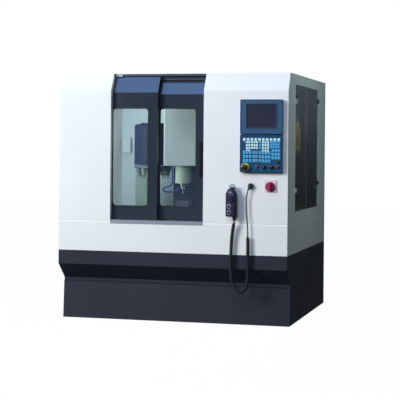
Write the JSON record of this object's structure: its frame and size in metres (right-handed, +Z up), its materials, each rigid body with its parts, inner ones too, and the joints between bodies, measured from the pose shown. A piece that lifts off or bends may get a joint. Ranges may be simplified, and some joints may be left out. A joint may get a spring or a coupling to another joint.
{
  "type": "cnc machining center",
  "caption": "Enclosed vertical machining centre with sliding glazed front doors, an operator station, a hand pendant on a curly cord and a tool magazine inside.",
  "frame": {"origin": "on the floor, in the middle of the base, between the outer sheets", "axes": "+Z up, the front with its doors faces -Y, +X is to the operator's right"},
  "size_m": [1.614, 1.6055, 1.69],
  "materials": {
    "white_sheet": "satin enamel on sheet steel",
    "white_guard": "satin enamel on sheet steel",
    "dark_sheet": "fine textured dark enamel on sheet steel",
    "door_sheet": "satin dark blue-grey enamel",
    "smoked_pane": "smoked acrylic, gloss",
    "sill_sheet": "brushed",
    "window": "clear laminated",
    "handle_plastic": "satin",
    "cabinet_sheet": "satin",
    "casting": "painted pale green-grey",
    "ground_iron": "ground",
    "bright_steel": "ground and polished",
    "vise_steel": "ground",
    "head_sheet": "satin",
    "drum_sheet": "satin dark blue",
    "hose_plastic": "satin",
    "bellows_fabric": "coated",
    "tank_sheet": "satin",
    "lubricator_plastic": "translucent yellow",
    "lamp_body": "satin",
    "unit_sheet": "fine textured blue-grey",
    "keyboard_film": "satin",
    "screen_glass": "gloss",
    "stop_red": "satin",
    "knob_plastic": "satin",
    "button_red": "satin",
    "button_green": "satin",
    "plate_pale": "satin",
    "switch_red": "satin",
    "pendant_plastic": "satin",
    "wheel_plastic": "satin",
    "hook_steel": "satin",
    "gland_plastic": "satin",
    "cord_rubber": "satin"
  },
  "bodies": {
    "housing": {"base_skirt": "dark_sheet", "lower_band": "dark_sheet", "white_apron": "white_sheet", "splash_pan": "white_guard", "left_front_panel": "white_sheet", "right_front_panel": "white_sheet", "left_side_panel": "white_sheet", "right_side_panel": "white_sheet", "rear_panel": "white_sheet", "roof_panel": "white_sheet", "door_lintel": "dark_sheet", "door_sill": "sill_sheet", "inner_guards": "white_guard", "electrical_cabinet": "cabinet_sheet", "machine_bed": "casting", "column": "casting", "magazine_drum": "drum_sheet", "z_bellows": "bellows_fabric", "coolant_tank": "tank_sheet", "lubricator": "lubricator_plastic", "work_lamp": "lamp_body", "display_housing": "unit_sheet", "display_screen": "screen_glass", "operator_keyboard": "keyboard_film", "main_switch_plate": "plate_pale", "pendant_housing": "pendant_plastic", "pendant_hook": "hook_steel", "cable_gland": "gland_plastic", "pendant_lead": "cord_rubber", "pendant_coil": "cord_rubber"},
    "left_door": {"left_door": "door_sheet", "left_door_window": "window"},
    "right_door": {"right_door": "door_sheet", "right_door_window": "window", "door_handle": "handle_plastic"},
    "side_door_front": {"side_door_front": "smoked_pane"},
    "side_door_rear": {"side_door_rear": "smoked_pane"},
    "cabinet_door": {"cabinet_door": "white_sheet"},
    "saddle": {"saddle": "casting"},
    "table": {"table": "ground_iron", "vise_body": "vise_steel"},
    "vise_jaw": {"vise_jaw": "vise_steel"},
    "vise_screw": {"vise_screw": "bright_steel"},
    "x_screw": {"x_screw": "bright_steel"},
    "y_screw": {"y_screw": "bright_steel"},
    "head": {"head_casting": "casting", "head_cover": "head_sheet", "coolant_hose": "hose_plastic"},
    "spindle": {"spindle": "bright_steel"},
    "z_screw": {"z_screw": "bright_steel"},
    "magazine_disc": {"magazine_disc": "bright_steel"},
    "emergency_stop": {"emergency_stop": "stop_red"},
    "feed_knob": {"feed_knob": "knob_plastic"},
    "spindle_knob": {"spindle_knob": "knob_plastic"},
    "stop_button": {"stop_button": "button_red"},
    "start_button": {"start_button": "button_green"},
    "main_switch_knob": {"main_switch_knob": "switch_red"},
    "pendant_wheel": {"pendant_wheel": "wheel_plastic"},
    "pendant_axis_knob": {"pendant_axis_knob": "wheel_plastic"},
    "pendant_rate_knob": {"pendant_rate_knob": "wheel_plastic"}
  },
  "joints": [
    {"name": "right_door_slide", "type": "slide", "parent": "housing", "child": "right_door", "axis": [-1, 0, 0], "range_m": [0, 0.59]},
    {"name": "left_door_slide", "type": "slide", "parent": "housing", "child": "left_door", "axis": [-1, 0, 0], "range_m": [0, 0.31]},
    {"name": "side_door_front_hinge", "type": "hinge", "parent": "housing", "child": "side_door_front", "pos_m": [0.8055, -0.489, 1.188], "axis": [0, 0, -1], "range_deg": [0, 110]},
    {"name": "side_door_rear_hinge", "type": "hinge", "parent": "housing", "child": "side_door_rear", "pos_m": [0.8055, 0.408, 1.188], "axis": [0, 0, 1], "range_deg": [0, 110]},
    {"name": "cabinet_door_hinge", "type": "hinge", "parent": "housing", "child": "cabinet_door", "pos_m": [-0.354, 0.7555, 1.18], "axis": [0, 0, 1], "range_deg": [0, 110]},
    {"name": "saddle_slide", "type": "slide", "parent": "housing", "child": "saddle", "axis": [0, 1, 0], "range_m": [-0.125, 0.125]},
    {"name": "table_slide", "type": "slide", "parent": "saddle", "child": "table", "axis": [1, 0, 0], "range_m": [-0.18, 0.18]},
    {"name": "vise_jaw_slide", "type": "slide", "parent": "table", "child": "vise_jaw", "axis": [0, 1, 0], "range_m": [-0.045, 0.055]},
    {"name": "vise_screw_turn", "type": "hinge", "parent": "table", "child": "vise_screw", "pos_m": [-0.07, -0.19, 0.755], "axis": [0, 1, 0], "range_deg": [-3300, 4020]},
    {"name": "x_screw_turn", "type": "hinge", "parent": "table", "child": "x_screw", "pos_m": [-0.07, -0.19, 0.666], "axis": [1, 0, 0], "range_deg": [-6500, 6500]},
    {"name": "y_screw_turn", "type": "hinge", "parent": "housing", "child": "y_screw", "pos_m": [-0.07, 0, 0.575], "axis": [0, 1, 0], "range_deg": [-4520, 4520]},
    {"name": "head_slide", "type": "slide", "parent": "housing", "child": "head", "axis": [0, 0, 1], "range_m": [-0.045, 0.195], "deforming": ["z_bellows"]},
    {"name": "spindle_turn", "type": "hinge", "parent": "head", "child": "spindle", "pos_m": [-0.07, -0.19, 0.93], "axis": [0, 0, 1], "continuous": true},
    {"name": "z_screw_turn", "type": "hinge", "parent": "housing", "child": "z_screw", "pos_m": [-0.07, 0.067, 1.1], "axis": [0, 0, 1], "range_deg": [-1640, 7040]},
    {"name": "magazine_turn", "type": "hinge", "parent": "housing", "child": "magazine_disc", "pos_m": [-0.341, -0.03, 1.033], "axis": [0, 0, 1], "continuous": true},
    {"name": "emergency_stop_press", "type": "slide", "parent": "housing", "child": "emergency_stop", "axis": [0, 1, 0], "range_m": [0, 0.006], "stiffness_N_per_m": 1500},
    {"name": "feed_knob_turn", "type": "hinge", "parent": "housing", "child": "feed_knob", "pos_m": [0.645, -0.78, 1.061], "axis": [0, 1, 0], "range_deg": [-135, 135]},
    {"name": "spindle_knob_turn", "type": "hinge", "parent": "housing", "child": "spindle_knob", "pos_m": [0.696, -0.78, 1.061], "axis": [0, 1, 0], "range_deg": [-135, 135]},
    {"name": "stop_button_press", "type": "slide", "parent": "housing", "child": "stop_button", "axis": [0, 1, 0], "range_m": [0, 0.003], "stiffness_N_per_m": 800},
    {"name": "start_button_press", "type": "slide", "parent": "housing", "child": "start_button", "axis": [0, 1, 0], "range_m": [0, 0.003], "stiffness_N_per_m": 800},
    {"name": "main_switch_turn", "type": "hinge", "parent": "housing", "child": "main_switch_knob", "pos_m": [0.684, -0.76, 0.932], "axis": [0, 1, 0], "range_deg": [0, 90]},
    {"name": "pendant_wheel_turn", "type": "hinge", "parent": "housing", "child": "pendant_wheel", "pos_m": [0.43, -0.784, 0.852], "axis": [0.2588, 0.9659, 0], "continuous": true},
    {"name": "pendant_axis_knob_turn", "type": "hinge", "parent": "housing", "child": "pendant_axis_knob", "pos_m": [0.42227, -0.78193, 0.8], "axis": [0.2588, 0.9659, 0], "range_deg": [-60, 90]},
    {"name": "pendant_rate_knob_turn", "type": "hinge", "parent": "housing", "child": "pendant_rate_knob", "pos_m": [0.42227, -0.78193, 0.76], "axis": [0.2588, 0.9659, 0], "range_deg": [-45, 45]}
  ],
  "couplings": [
    {"joint": "left_door_slide", "follows": "right_door_slide", "ratio": 0.52542},
    {"joint": "vise_screw_turn", "follows": "vise_jaw_slide", "rad_per_m": 1256.6},
    {"joint": "x_screw_turn", "follows": "table_slide", "rad_per_m": 628.32},
    {"joint": "y_screw_turn", "follows": "saddle_slide", "rad_per_m": 628.32},
    {"joint": "z_screw_turn", "follows": "head_slide", "rad_per_m": 628.32}
  ]
}
